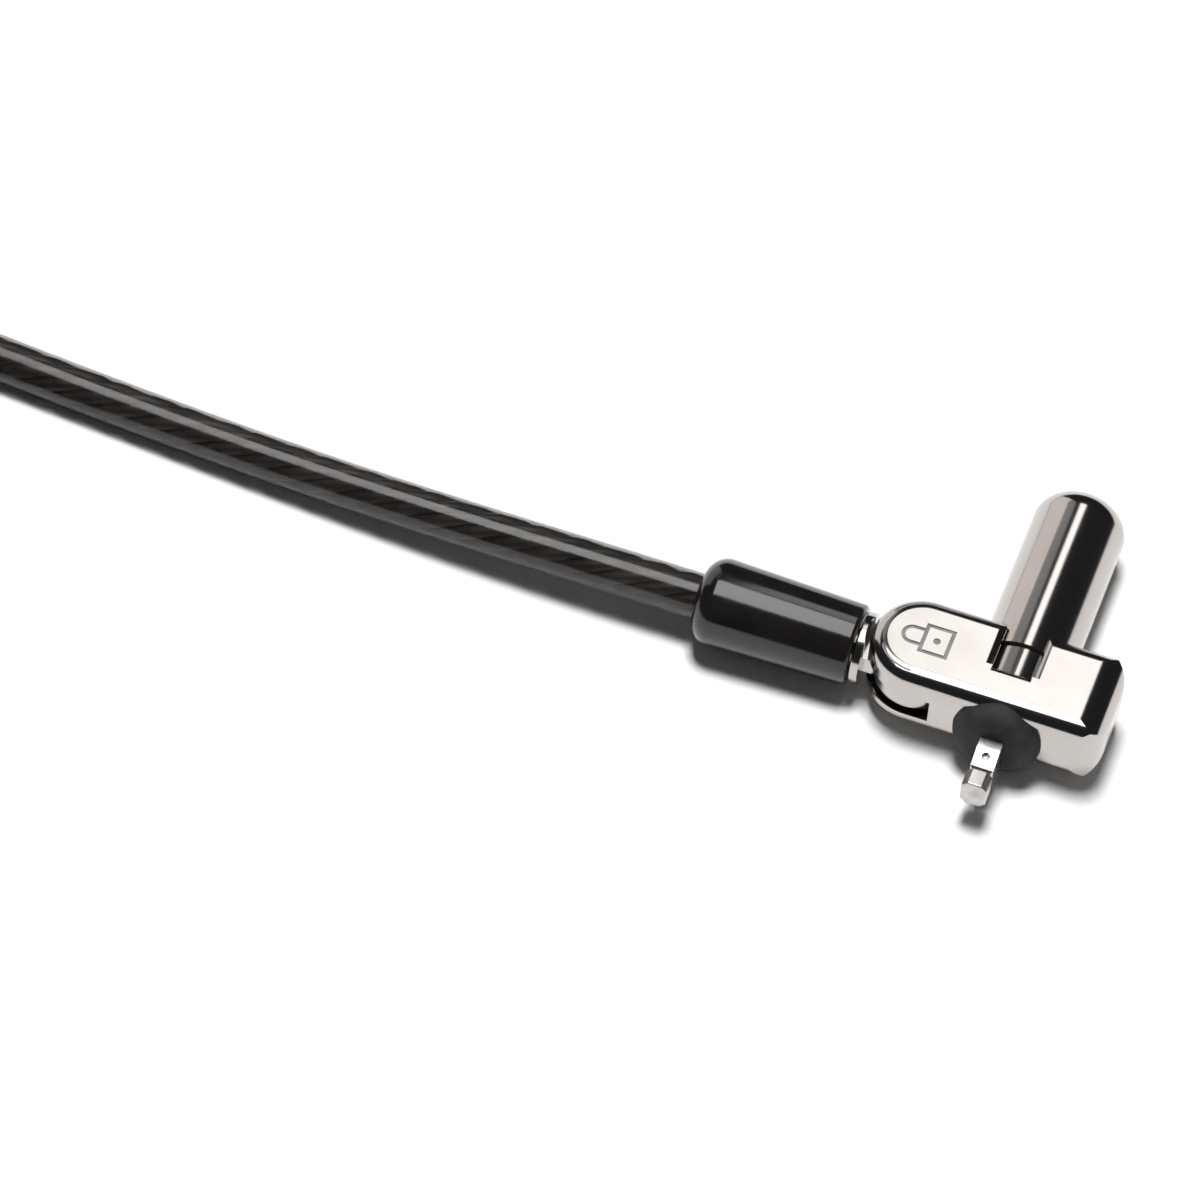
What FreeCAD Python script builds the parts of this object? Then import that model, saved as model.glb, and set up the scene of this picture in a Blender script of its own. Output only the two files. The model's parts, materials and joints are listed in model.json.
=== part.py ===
"""Laptop cable lock: a swivelling key-barrel head on a steel security cable.

Frame, in millimetres: the origin lies on the hinge pin's axis, on the surface that the
lock lies on. +X runs along the head, away from the cable. +Y runs along the barrel,
towards the key. +Z is up. The lock tip points along -Y and the cable leaves along -X.
"""
import FreeCAD, Part
import math
import os

V = FreeCAD.Vector
X_AXIS = V(1, 0, 0)
Y_AXIS = V(0, 1, 0)
Z_AXIS = V(0, 0, 1)

# ---------------------------------------------------------------- driving dimensions
SHELL_R = 5.3                # outside of the barrel shell, which rests on the surface
MID_Z = SHELL_R              # height of the barrel, the hinge's tongue and the cable socket
RUN_CLEAR = 0.05             # radial clearance of every running fit

# Head
HEAD_LOW_Z = 1.6
HEAD_TOP_Z = 10.7
HEAD_HALF_W = 5.8            # half of the head's width, and the radius of its round end
HEAD_END_X = 22.2            # flat end of the head
EDGE_R = 1.8                 # rounded edges along the sides and round the hinge
END_EDGE_R = 3.2             # larger rounding at the flat end, mitred with the others
CORNER_R = 3.2               # upright edges of the flat end
SLOT_LOW_Z = 3.9             # clevis slot for the tongue
SLOT_TOP_Z = 7.3
SLOT_END_X = 2.8             # the slot's ends on the head's two long sides
SLOT_R = 5.4                 # round bottom of the slot
BARREL_X = 10.7              # barrel axis
BORE_R = 4.95                # bore through the head, which also opens its underside
SEAT_R = 5.35                # counterbore that takes the shell's foot
SEAT_Y = 3.2                 # bottom of that counterbore
RUBBER_SEAT_Y = -4.8         # bottom of the shallow seat for the rubber bumper
NOTCH_X = 10.4               # window in the head's top, over the barrel
NOTCH_HALF_W = 2.3
NOTCH_FRONT_Y = -0.7
NOTCH_LIP_R = 0.8            # rounded lip of the window
NOTCH_CORNER_R = 1.4         # upright edges where the window opens at the back
MARK_DEPTH = 0.18            # engraved padlock sign
MARK_LINE = 0.45

# Hinge
PIVOT_R = 1.5                # hinge pin
PIVOT_HEAD_R = 2.2           # flush head of the pin, in the head's underside
PIVOT_HEAD_TOP_Z = 2.5
PIVOT_TOP_Z = 9.2
WASHER_R = 3.6
TONGUE_R = 5.3
TONGUE_LOW_Z = 4.6
TONGUE_TOP_Z = 6.9
NECK_HALF_W = 2.5
SADDLE_R = 6.4               # hollow face of the collar, round the hinge axis
COLLAR_R = 4.1
COLLAR_FRONT_X = -6.05
COLLAR_BACK_X = -7.1

# Cable swivel, inside the strain sleeve
SHANK_R = 2.2
SHANK_END_X = -12.2
GROOVE_R = 1.7
GROOVE_FRONT_X = -10.6
GROOVE_BACK_X = -11.15
BUSH_BACK_X = -10.2
CLIP_R = 2.8
FERRULE_R = 3.8
FERRULE_FRONT_X = -7.4
FERRULE_BACK_X = -22.0
FERRULE_GROOVE_XS = (-16.5, -19.3)   # pressed rings that grip the cable
CHAMBER_R = 3.1
CHAMBER_BACK_X = -12.6
SOCKET_FRONT_X = -14.2       # bottom of the socket that holds the cable
SLEEVE_FRONT_X = -7.25
SLEEVE_BACK_X = -25.7
SLEEVE_FRONT_R = 4.65
SLEEVE_BACK_R = 5.05
SLEEVE_SHOULDER_R = 2.5
SLEEVE_EDGE_R = 0.5

# Barrel and key core
SHELL_INNER_R = 4.52
SHELL_SHOULDER_R = 3.4       # rounding between the shell's side and its end
SHELL_END_Y = 27.1
BODY_NECK_R = 4.9
BODY_UPPER_R = 4.5
BODY_FRONT_Y = -3.4          # end of the barrel body at the lock tip
BODY_END_Y = 23.4
PLUG_R = 2.5                 # key plug
PLUG_TAIL_Y = 1.4
PLUG_FACE_Y = 26.5
PLUG_FLANGE_R = 3.2
PLUG_FLANGE_THICK = 1.1
TAIL_CHAMBER_R = 3.6         # room for the core's clip
TAIL_CHAMBER_LOW_Y = 0.9
TAIL_CHAMBER_END_Y = 4.6
CLIP_GROOVE_R = 2.0
CLIP_LOW_Y = 3.6
CLIP_HIGH_Y = 4.3
CORE_CLIP_R = 3.3
PIN_YS = (11.0, 13.5, 16.0, 18.5, 21.0)
PIN_BOTTOMS = (0.35, 0.05, 0.55, 0.2, 0.45)   # each key pin's lower end, above the axis
PIN_R = 0.45
SHEAR_GAP = 0.06             # between the plug and the driver pins
DRIVER_LENGTH = 0.7
SPRING_WIRE_R = 0.06
SPRING_MEAN_R = 0.32
SPRING_TURNS = 4
KEYWAY_HALF_W = 0.55
KEYWAY_HALF_H = 1.7
KEYWAY_END_Y = 8.5
LOCK_PIN_R = 0.8             # cross pin that holds the barrel in the head
LOCK_PIN_X = BARREL_X + 4.75
LOCK_PIN_Y = 1.6
LOCK_PIN_TOP_Z = 9.0

# Lock tip
SPINDLE_R = 0.9
TANG_HALF_W = 0.5            # flat tang that the key plug turns
NOSE_FLANGE_R = 4.7
NOSE_FLANGE_LOW_Y = -4.75
NOSE_FLANGE_HIGH_Y = -3.5
NOSE_HALF_W = 1.3            # the nose fits a security slot 3 mm wide
NOSE_HALF_H = 2.1
NOSE_ROOT_HALF_H = 1.3
NOSE_BACK_Y = -7.6
NOSE_SLOPE_Y = -9.2          # from here the nose thins down to its end
NOSE_END_HALF_H = 1.25
NOSE_SHOULDER_R = 0.3
NOSE_CROWN_R = 1.5           # rounding where the thinning starts
NOSE_END_Y = -11.6
NOSE_PIN_R = 0.45
NOSE_PIN_Y = -10.1
RUBBER_R = 5.05
RUBBER_BACK_Y = -4.82
RUBBER_FRONT_Y = -8.0
RUBBER_EDGE_R = 2.4
RUBBER_CLEAR = 0.03
T_BACK_Y = -12.1
T_END_Y = -14.2
T_HALF_W = 1.45
T_HALF_H = 1.9
T_CHAMFER = 0.65

# Cable
CABLE_R = 2.6                # clear jacket over a steel strand
COIL_CENTRE = V(-141.5, -27.2, 0)
COIL_OUTER_TURN_R = 34.0     # centreline of the outermost turn
TURN_PITCH = 5.4             # one cable diameter and a little air
COIL_COLUMNS = 2
COIL_LAYERS = 4
COIL_INNER_R = COIL_OUTER_TURN_R - COIL_COLUMNS * TURN_PITCH - CABLE_R
COIL_OUTER_R = COIL_OUTER_TURN_R + CABLE_R
COIL_TOP_Z = 2 * CABLE_R + (COIL_LAYERS - 1) * TURN_PITCH
COIL_RIM_R = 1.8

# The cable's route from its socket to the coil. It drops to the surface and drifts to +Y.
LEAD_ROUTE = (
    V(SOCKET_FRONT_X, 0, MID_Z),
    V(-33.0, 0, MID_Z),
    V(-52.0, 0.4, 4.4),
    V(-74.0, 1.5, 3.15),
    V(-97.0, 3.1, CABLE_R),
    V(-119.0, 4.8, CABLE_R),
    V(-138.5, 6.67, CABLE_R),
)

CRIMP_WALL = 0.8             # the crimp lies on the surface, so it lifts the cable's end by this

# The cable's end: off the top outer turn, down outside the coil, and along its near side.
TAIL_ROUTE = (
    V(-138.5, 6.67, COIL_TOP_Z - CABLE_R),
    V(-155.0, 7.6, 18.6),
    V(-172.0, 0.0, 15.2),
    V(-182.6, -14.5, 10.2),
    V(-184.4, -33.0, 5.6),
    V(-177.6, -51.5, 3.6),
    V(-163.8, -66.5, 3.2),
    V(-145.0, -73.5, CABLE_R + CRIMP_WALL),
)

CRIMP_LENGTH = 13.0
STRAND_SIDE = CABLE_R + 0.05 # half the spacing of the two cable runs inside the crimp
EYE_START = 9.0              # where the returned cable ends, inside the crimp
EYE_NECK = 17.0
EYE_FLARE = 26.0
EYE_TURN = 38.0
EYE_HALF_W = 11.0            # half the width of the anchor loop, to the cable's centreline

TIE_DEGS = (20.0, 185.0, 285.0)
TIE_WIDTH = 7.0
TIE_THICK = 0.8
TIE_GAP = 0.1


# ---------------------------------------------------------------- helpers
def rod(radius, start, end):
    """Round bar between two points."""
    return Part.makeCylinder(radius, (end - start).Length, start, end - start)


def tube(outer, inner, start, end):
    """Round tube between two points."""
    return rod(outer, start, end).cut(rod(inner, start, end))


def block(low, high):
    """Box between two opposite corners."""
    size = high - low
    return Part.makeBox(size.x, size.y, size.z, low)


def along_barrel(y, dx=0.0, dz=0.0):
    """Point at a distance along the barrel axis, with an offset across it."""
    return V(BARREL_X + dx, y, MID_Z + dz)


def along_cable(x):
    """Point on the axis of the cable socket."""
    return V(x, 0, MID_Z)


def line(start, end):
    """Straight edge between two points."""
    return Part.LineSegment(start, end).toShape()


def arc(start, middle, end):
    """Round edge through three points."""
    return Part.Arc(start, middle, end).toShape()


def turned(profile, axis_point, axis):
    """Solid of revolution of a closed outline, a list of edges."""
    face = Part.Face(Part.Wire(profile))
    return face.revolve(axis_point, axis, 360)


def near(a, b, slack=0.02):
    return abs(a - b) < slack


def edges_where(shape, test):
    """Edges of a shape whose middle and ends all pass a test."""
    found = []
    for edge in shape.Edges:
        low = edge.FirstParameter
        span = edge.LastParameter - low
        samples = [edge.valueAt(low + span * t) for t in (0.0, 0.25, 0.5, 0.75, 1.0)]
        if all(test(p) for p in samples):
            found.append(edge)
    return found


def route_wire(points):
    """Straight runs joined by tangent arcs, each as large as its two runs allow."""
    edges = []
    radii = []
    here = points[0]
    for i in range(1, len(points) - 1):
        into = points[i] - points[i - 1]
        out = points[i + 1] - points[i]
        reach = 0.45 * min(into.Length, out.Length)
        half_turn = into.getAngle(out) / 2
        into.normalize()
        out.normalize()
        arc_start = points[i] - into * reach
        arc_end = points[i] + out * reach
        radius = reach / math.tan(half_turn)
        inward = out - into
        inward.normalize()
        centre = points[i] + inward * (radius / math.cos(half_turn))
        edges.append(line(here, arc_start))
        edges.append(arc(arc_start, centre - inward * radius, arc_end))
        radii.append(round(radius, 1))
        here = arc_end
    edges.append(line(here, points[-1]))
    return Part.Wire(edges), radii


def cable_along(name, points):
    """Cable solid along a route, with its bend radii and volume printed."""
    wire, radii = route_wire(points)
    circle = Part.makeCircle(CABLE_R, points[0], points[1] - points[0])
    solid = wire.makePipeShell([Part.Wire(circle)], True, False)
    expected = math.pi * CABLE_R ** 2 * wire.Length
    print(name, "length", round(wire.Length, 1), "radii", radii,
          "volume", round(solid.Volume, 1), "expected", round(expected, 1))
    return solid


# ---------------------------------------------------------------- head
def head_blank():
    """The head's outer block: a round end about the hinge and a mitred flat end."""
    w = HEAD_HALF_W
    low = HEAD_LOW_Z
    high = HEAD_TOP_Z
    bar = block(V(0, -w, low), V(HEAD_END_X + 5, w, high))
    long_edges = edges_where(bar, lambda p: near(abs(p.y), w) and (near(p.z, low) or near(p.z, high)))
    bar = bar.makeFillet(EDGE_R, long_edges)
    end = block(V(-5, -w - 1, low), V(HEAD_END_X, w + 1, high))
    end_edges = edges_where(end, lambda p: near(p.x, HEAD_END_X) and (near(p.z, low) or near(p.z, high)))
    end = end.makeFillet(END_EDGE_R, end_edges)
    plan = block(V(-5, -w, low), V(HEAD_END_X, w, high))
    corners = edges_where(plan, lambda p: near(p.x, HEAD_END_X) and near(abs(p.y), w))
    plan = plan.makeFillet(CORNER_R, corners)
    disc = rod(w, V(0, 0, low), V(0, 0, high))
    disc = disc.makeFillet(EDGE_R, edges_where(disc, lambda p: near(p.z, low) or near(p.z, high)))
    disc = disc.common(block(V(-w - 1, -w - 1, low - 1), V(0, w + 1, high + 1)))
    return bar.common(end).common(plan).fuse(disc).removeSplitter()


def clevis_slot():
    """Space for the tongue: round about the pin, and open to the cable's side."""
    far = HEAD_HALF_W + 1
    side = block(V(-far, -far, SLOT_LOW_Z), V(SLOT_END_X, far, SLOT_TOP_Z))
    return side.fuse(rod(SLOT_R, V(0, 0, SLOT_LOW_Z), V(0, 0, SLOT_TOP_Z)))


def window_profile(half_width):
    """Outline across the window: upright walls that flare into a rounded lip."""
    top = HEAD_TOP_Z
    over = top + 1
    lip = NOTCH_LIP_R
    k = lip * (1 - math.sqrt(0.5))
    a = half_width
    edges = [
        line(V(-a, 0, MID_Z), V(-a, 0, top - lip)),
        arc(V(-a, 0, top - lip), V(-a - k, 0, top - k), V(-a - lip, 0, top)),
        line(V(-a - lip, 0, top), V(-a - lip, 0, over)),
        line(V(-a - lip, 0, over), V(a + lip, 0, over)),
        line(V(a + lip, 0, over), V(a + lip, 0, top)),
        arc(V(a + lip, 0, top), V(a + k, 0, top - k), V(a, 0, top - lip)),
        line(V(a, 0, top - lip), V(a, 0, MID_Z)),
        line(V(a, 0, MID_Z), V(-a, 0, MID_Z)),
    ]
    return Part.Face(Part.Wire(edges))


def window_corner(side):
    """Sliver between the window's square back corner and its rounded one, on one side."""
    r = NOTCH_CORNER_R
    wall_x = NOTCH_X + side * NOTCH_HALF_W
    centre = V(wall_x + side * r, HEAD_HALF_W - r, MID_Z)
    low_x = min(wall_x, wall_x + side * r)
    corner = block(V(low_x, HEAD_HALF_W - r, MID_Z), V(low_x + r, HEAD_HALF_W + 1, HEAD_TOP_Z + 1))
    return corner.cut(rod(r, centre, centre + Z_AXIS * HEAD_TOP_Z))


def barrel_window():
    """Window cut down into the bore from the head's top, open at the back."""
    across = window_profile(NOTCH_HALF_W)
    across.translate(V(NOTCH_X, NOTCH_FRONT_Y, 0))
    cutter = across.extrude(Y_AXIS * (HEAD_HALF_W + 1 - NOTCH_FRONT_Y))
    front = window_profile(NOTCH_LIP_R)
    front.rotate(V(0, 0, 0), Z_AXIS, 90)
    front.translate(V(NOTCH_X - NOTCH_HALF_W, NOTCH_FRONT_Y + NOTCH_LIP_R, 0))
    return cutter.fuse([front.extrude(X_AXIS * 2 * NOTCH_HALF_W), window_corner(-1), window_corner(1)])


def padlock_mark():
    """Engraved outline of a plain padlock, a generic security sign."""
    body_low_x = -0.2
    body_high_x = 3.2
    body_half_w = 2.0
    bow_x = -1.3
    bow_r = 1.25
    keyhole_x = 1.5
    keyhole_r = 0.42
    low = HEAD_TOP_Z - MARK_DEPTH
    high = HEAD_TOP_Z + 1
    inset = V(MARK_LINE, MARK_LINE, 0)
    corner = V(body_low_x, -body_half_w, low)
    opposite = V(body_high_x, body_half_w, high)
    body = block(corner, opposite).cut(block(corner + inset, opposite - inset))
    bow = tube(bow_r, bow_r - MARK_LINE, V(bow_x, 0, low), V(bow_x, 0, high))
    bow = bow.common(block(V(bow_x - bow_r, -bow_r, low), V(bow_x, bow_r, high)))
    legs = block(V(bow_x, -bow_r, low), V(body_low_x, bow_r, high))
    gap = bow_r - MARK_LINE
    legs = legs.cut(block(V(bow_x, -gap, low), V(body_low_x, gap, high)))
    keyhole = rod(keyhole_r, V(keyhole_x, 0, low), V(keyhole_x, 0, high))
    return body.fuse([bow, legs, keyhole])


def head_housing():
    """One-piece head: clevis, barrel bore, window and the seats of its pins."""
    head = head_blank().cut(clevis_slot())
    front = along_barrel(-HEAD_HALF_W - 1)
    back = along_barrel(HEAD_HALF_W + 1)
    cuts = [
        rod(BORE_R, front, back),
        rod(SEAT_R, along_barrel(SEAT_Y), back),
        rod(RUBBER_R, front, along_barrel(RUBBER_SEAT_Y)),
        barrel_window(),
        rod(PIVOT_R, V(0, 0, 0), V(0, 0, PIVOT_TOP_Z + 0.1)),
        rod(PIVOT_HEAD_R, V(0, 0, 0), V(0, 0, PIVOT_HEAD_TOP_Z)),
        rod(LOCK_PIN_R, V(LOCK_PIN_X, LOCK_PIN_Y, 0), V(LOCK_PIN_X, LOCK_PIN_Y, LOCK_PIN_TOP_Z)),
        padlock_mark(),
    ]
    for cut in cuts:
        head = head.cut(cut)
    return head


# ---------------------------------------------------------------- hinge
def pivot_pin():
    """Hinge pin with a flush head, pressed into the head from below."""
    low = V(0, 0, HEAD_LOW_Z + 0.1)
    head = rod(PIVOT_HEAD_R, low, V(0, 0, PIVOT_HEAD_TOP_Z))
    return head.fuse(rod(PIVOT_R, low, V(0, 0, PIVOT_TOP_Z))).removeSplitter()


def pivot_washer(low_z, high_z):
    """Thin washer that fills the play between the tongue and the slot."""
    return tube(WASHER_R, PIVOT_R + RUN_CLEAR, V(0, 0, low_z), V(0, 0, high_z))


def hinge_knuckle():
    """Tongue, neck, collar and grooved shank, in one piece."""
    tongue = rod(TONGUE_R, V(0, 0, TONGUE_LOW_Z), V(0, 0, TONGUE_TOP_Z))
    neck = block(V(COLLAR_FRONT_X - 0.5, -NECK_HALF_W, TONGUE_LOW_Z),
                 V(0, NECK_HALF_W, TONGUE_TOP_Z))
    collar = rod(COLLAR_R, along_cable(COLLAR_BACK_X), along_cable(COLLAR_FRONT_X))
    collar = collar.makeFillet(0.25, edges_where(collar, lambda p: near(p.x, COLLAR_BACK_X)))
    collar = collar.cut(rod(SADDLE_R, V(0, 0, 0), V(0, 0, 2 * MID_Z)))
    shank = rod(SHANK_R, along_cable(SHANK_END_X), along_cable(COLLAR_BACK_X + 0.1))
    groove = tube(SHANK_R + 1, GROOVE_R, along_cable(GROOVE_BACK_X), along_cable(GROOVE_FRONT_X))
    body = collar.fuse([shank.cut(groove), neck, tongue])
    pin_hole = rod(PIVOT_R + RUN_CLEAR, V(0, 0, 0), V(0, 0, HEAD_TOP_Z))
    return body.cut(pin_hole).removeSplitter()


# ---------------------------------------------------------------- cable swivel
def swivel_clip():
    """Open spring clip in the shank's groove."""
    ring = tube(CLIP_R, GROOVE_R, along_cable(GROOVE_BACK_X + 0.02), along_cable(GROOVE_FRONT_X - 0.02))
    gap = block(V(GROOVE_BACK_X - 1, -0.8, MID_Z), V(GROOVE_FRONT_X + 1, 0.8, MID_Z + CLIP_R + 1))
    return ring.cut(gap)


def swivel_washer():
    """Thrust washer between the clip and the bush."""
    return tube(CHAMBER_R - 0.2, SHANK_R + RUN_CLEAR, along_cable(GROOVE_FRONT_X + 0.03),
                along_cable(BUSH_BACK_X - 0.03))


def swivel_bush():
    """Bearing bush that the shank turns in, pressed into the ferrule's mouth."""
    return tube(CHAMBER_R, SHANK_R + RUN_CLEAR, along_cable(BUSH_BACK_X), along_cable(FERRULE_FRONT_X))


def cable_ferrule():
    """Steel socket: a chamber for the swivel in front, and the cable's crimp behind."""
    body = rod(FERRULE_R, along_cable(FERRULE_BACK_X), along_cable(FERRULE_FRONT_X))
    body = body.cut(rod(CHAMBER_R, along_cable(CHAMBER_BACK_X), along_cable(FERRULE_FRONT_X + 1)))
    body = body.cut(rod(CABLE_R, along_cable(FERRULE_BACK_X - 1), along_cable(SOCKET_FRONT_X)))
    for x in FERRULE_GROOVE_XS:
        body = body.cut(tube(FERRULE_R + 1, FERRULE_R - 0.25, along_cable(x - 0.6), along_cable(x + 0.6)))
    return body


def strain_sleeve():
    """Moulded sleeve: a slight taper and a full round shoulder at the cable."""
    r0 = SLEEVE_FRONT_R
    r1 = SLEEVE_BACK_R
    x0 = SLEEVE_FRONT_X
    x1 = SLEEVE_BACK_X
    edge = SLEEVE_EDGE_R
    s = SLEEVE_SHOULDER_R
    k = s * math.sqrt(0.5)
    e = edge * math.sqrt(0.5)
    bore = FERRULE_R + RUN_CLEAR
    exit_r = CABLE_R + RUN_CLEAR
    half_arc = math.acos((exit_r - r1 + s) / s) / 2
    step_x = FERRULE_BACK_X - 0.1
    rim_x = x1 + s - s * math.sin(2 * half_arc)
    bulge = V(x1 + s - s * math.sin(half_arc), 0, MID_Z + r1 - s + s * math.cos(half_arc))

    def at(x, r):
        return V(x, 0, MID_Z + r)

    profile = [
        line(at(x0, bore), at(x0, r0 - edge)),
        arc(at(x0, r0 - edge), at(x0 - edge + e, r0 - edge + e), at(x0 - edge, r0)),
        line(at(x0 - edge, r0), at(x1 + s, r1)),
        arc(at(x1 + s, r1), bulge, at(rim_x, exit_r)),
        line(at(rim_x, exit_r), at(step_x, exit_r)),
        line(at(step_x, exit_r), at(step_x, bore)),
        line(at(step_x, bore), at(x0, bore)),
    ]
    return turned(profile, along_cable(0), X_AXIS)


# ---------------------------------------------------------------- barrel and key core
def barrel_shell():
    """Bright tube with a round-shouldered end, open in the middle for the key."""
    r = SHELL_R
    s = SHELL_SHOULDER_R
    shoulder_y = SHELL_END_Y - s
    mouth = PLUG_R + RUN_CLEAR
    sweep = math.acos((mouth - r + s) / s)
    inner = SHELL_INNER_R
    lip_r = PLUG_FLANGE_R + 0.1
    lip_y = SHELL_END_Y - 1.55
    cone_y = lip_y - 1.2

    def at(radius, y):
        return V(BARREL_X + radius, y, MID_Z)

    def on_shoulder(angle):
        return at(r - s + s * math.cos(angle), shoulder_y + s * math.sin(angle))

    profile = [
        line(at(inner, SEAT_Y), at(r, SEAT_Y)),
        line(at(r, SEAT_Y), at(r, shoulder_y)),
        arc(on_shoulder(0), on_shoulder(sweep / 2), on_shoulder(sweep)),
        line(on_shoulder(sweep), at(mouth, lip_y)),
        line(at(mouth, lip_y), at(lip_r, lip_y)),
        line(at(lip_r, lip_y), at(inner, cone_y)),
        line(at(inner, cone_y), at(inner, SEAT_Y)),
    ]
    return turned(profile, along_barrel(0), Y_AXIS)


def key_plug():
    """Turning core with its keyway, five pin holes and a drive slot at the tail."""
    plug = rod(PLUG_R, along_barrel(PLUG_TAIL_Y), along_barrel(PLUG_FACE_Y))
    flange_y = BODY_END_Y + 0.1
    plug = plug.fuse(rod(PLUG_FLANGE_R, along_barrel(flange_y), along_barrel(flange_y + PLUG_FLANGE_THICK)))
    plug = plug.cut(tube(PLUG_R + 1, CLIP_GROOVE_R, along_barrel(CLIP_LOW_Y), along_barrel(CLIP_HIGH_Y)))
    keyway = block(along_barrel(KEYWAY_END_Y, -KEYWAY_HALF_W, -KEYWAY_HALF_H),
                   along_barrel(PLUG_FACE_Y + 1, KEYWAY_HALF_W, KEYWAY_HALF_H))
    ward = block(along_barrel(KEYWAY_END_Y, KEYWAY_HALF_W - 0.3, -0.45),
                 along_barrel(PLUG_FACE_Y + 1, KEYWAY_HALF_W + 0.01, 0.15))
    plug = plug.cut(keyway.cut(ward))
    for y in PIN_YS:
        plug = plug.cut(rod(PIN_R + RUN_CLEAR, along_barrel(y, 0, -0.2), along_barrel(y, 0, PLUG_R + 1)))
    drive_slot = block(along_barrel(PLUG_TAIL_Y - 1, -PLUG_R - 0.1, -TANG_HALF_W - RUN_CLEAR),
                       along_barrel(PLUG_TAIL_Y + 1.6, PLUG_R + 0.1, TANG_HALF_W + RUN_CLEAR))
    return plug.cut(drive_slot).removeSplitter()


def key_pins():
    """Pins in the plug, each of its own length, their tops just under its surface."""
    top = math.sqrt(PLUG_R ** 2 - PIN_R ** 2) - 0.01
    pins = []
    for y, bottom in zip(PIN_YS, PIN_BOTTOMS):
        pins.append(rod(PIN_R, along_barrel(y, 0, bottom), along_barrel(y, 0, top)))
    return Part.makeCompound(pins)


def driver_pins():
    """Pins in the barrel body that block the core until a key lifts them."""
    low = PLUG_R + SHEAR_GAP
    high = low + DRIVER_LENGTH
    pins = [rod(PIN_R, along_barrel(y, 0, low), along_barrel(y, 0, high)) for y in PIN_YS]
    return Part.makeCompound(pins)


def pin_springs():
    """Coil springs above the driver pins, each a helix of fine wire."""
    low = PLUG_R + SHEAR_GAP + DRIVER_LENGTH + SPRING_WIRE_R + 0.01
    high = BODY_UPPER_R - SPRING_WIRE_R - 0.02
    pitch = (high - low) / SPRING_TURNS
    slope = V(0, 1, pitch / (2 * math.pi * SPRING_MEAN_R))
    springs = []
    for y in PIN_YS:
        helix = Part.makeHelix(pitch, high - low, SPRING_MEAN_R)
        circle = Part.Wire(Part.makeCircle(SPRING_WIRE_R, V(SPRING_MEAN_R, 0, 0), slope))
        spring = Part.Wire(helix.Edges).makePipeShell([circle], True, True)
        spring.translate(along_barrel(y, 0, low))
        springs.append(spring)
    return Part.makeCompound(springs)


def barrel_body():
    """Fixed carrier of the key core, inside the shell and down through the head."""
    neck = rod(BODY_NECK_R, along_barrel(BODY_FRONT_Y), along_barrel(SEAT_Y - 0.05))
    upper = rod(BODY_UPPER_R, along_barrel(SEAT_Y - 0.5), along_barrel(BODY_END_Y))
    body = neck.fuse(upper)
    cuts = [
        rod(PLUG_R + RUN_CLEAR, along_barrel(TAIL_CHAMBER_LOW_Y), along_barrel(BODY_END_Y + 1)),
        rod(TAIL_CHAMBER_R, along_barrel(TAIL_CHAMBER_LOW_Y), along_barrel(TAIL_CHAMBER_END_Y)),
        rod(SPINDLE_R + RUN_CLEAR, along_barrel(BODY_FRONT_Y - 1), along_barrel(PLUG_TAIL_Y)),
        rod(LOCK_PIN_R, V(LOCK_PIN_X, LOCK_PIN_Y, 0), V(LOCK_PIN_X, LOCK_PIN_Y, HEAD_TOP_Z)),
    ]
    cuts += [rod(PIN_R + RUN_CLEAR, along_barrel(y), along_barrel(y, 0, BODY_NECK_R)) for y in PIN_YS]
    for cut in cuts:
        body = body.cut(cut)
    return body.removeSplitter()


def barrel_lock_pin():
    """Cross pin, half in the head's wall and half in the barrel body's flank."""
    return rod(LOCK_PIN_R, V(LOCK_PIN_X, LOCK_PIN_Y, HEAD_LOW_Z + 0.15),
               V(LOCK_PIN_X, LOCK_PIN_Y, LOCK_PIN_TOP_Z - 0.05))


def core_clip():
    """Open clip in the core's tail groove, which keeps the core in the body."""
    ring = tube(CORE_CLIP_R, CLIP_GROOVE_R, along_barrel(CLIP_LOW_Y + 0.05), along_barrel(CLIP_HIGH_Y - 0.05))
    gap = block(along_barrel(CLIP_LOW_Y - 1, -0.9, 0), along_barrel(CLIP_HIGH_Y + 1, 0.9, CORE_CLIP_R + 1))
    return ring.cut(gap)


# ---------------------------------------------------------------- lock tip
def drive_spindle():
    """Turning shaft from the key core to the T-bar that grips behind the slot."""
    tang = block(along_barrel(PLUG_TAIL_Y - 0.2, -2.1, -TANG_HALF_W),
                 along_barrel(PLUG_TAIL_Y + 1.5, 2.1, TANG_HALF_W))
    shaft = rod(SPINDLE_R, along_barrel(T_END_Y + 0.5), along_barrel(PLUG_TAIL_Y))
    bar = block(along_barrel(T_END_Y, -T_HALF_W, -T_HALF_H), along_barrel(T_BACK_Y, T_HALF_W, T_HALF_H))
    long_edges = edges_where(bar, lambda p: near(abs(p.x - BARREL_X), T_HALF_W)
                             and near(abs(p.z - MID_Z), T_HALF_H))
    bar = bar.makeChamfer(T_CHAMFER, long_edges)
    bar = bar.makeFillet(0.2, edges_where(bar, lambda p: near(p.y, T_END_Y)))
    return bar.fuse([shaft, tang]).removeSplitter()


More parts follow.
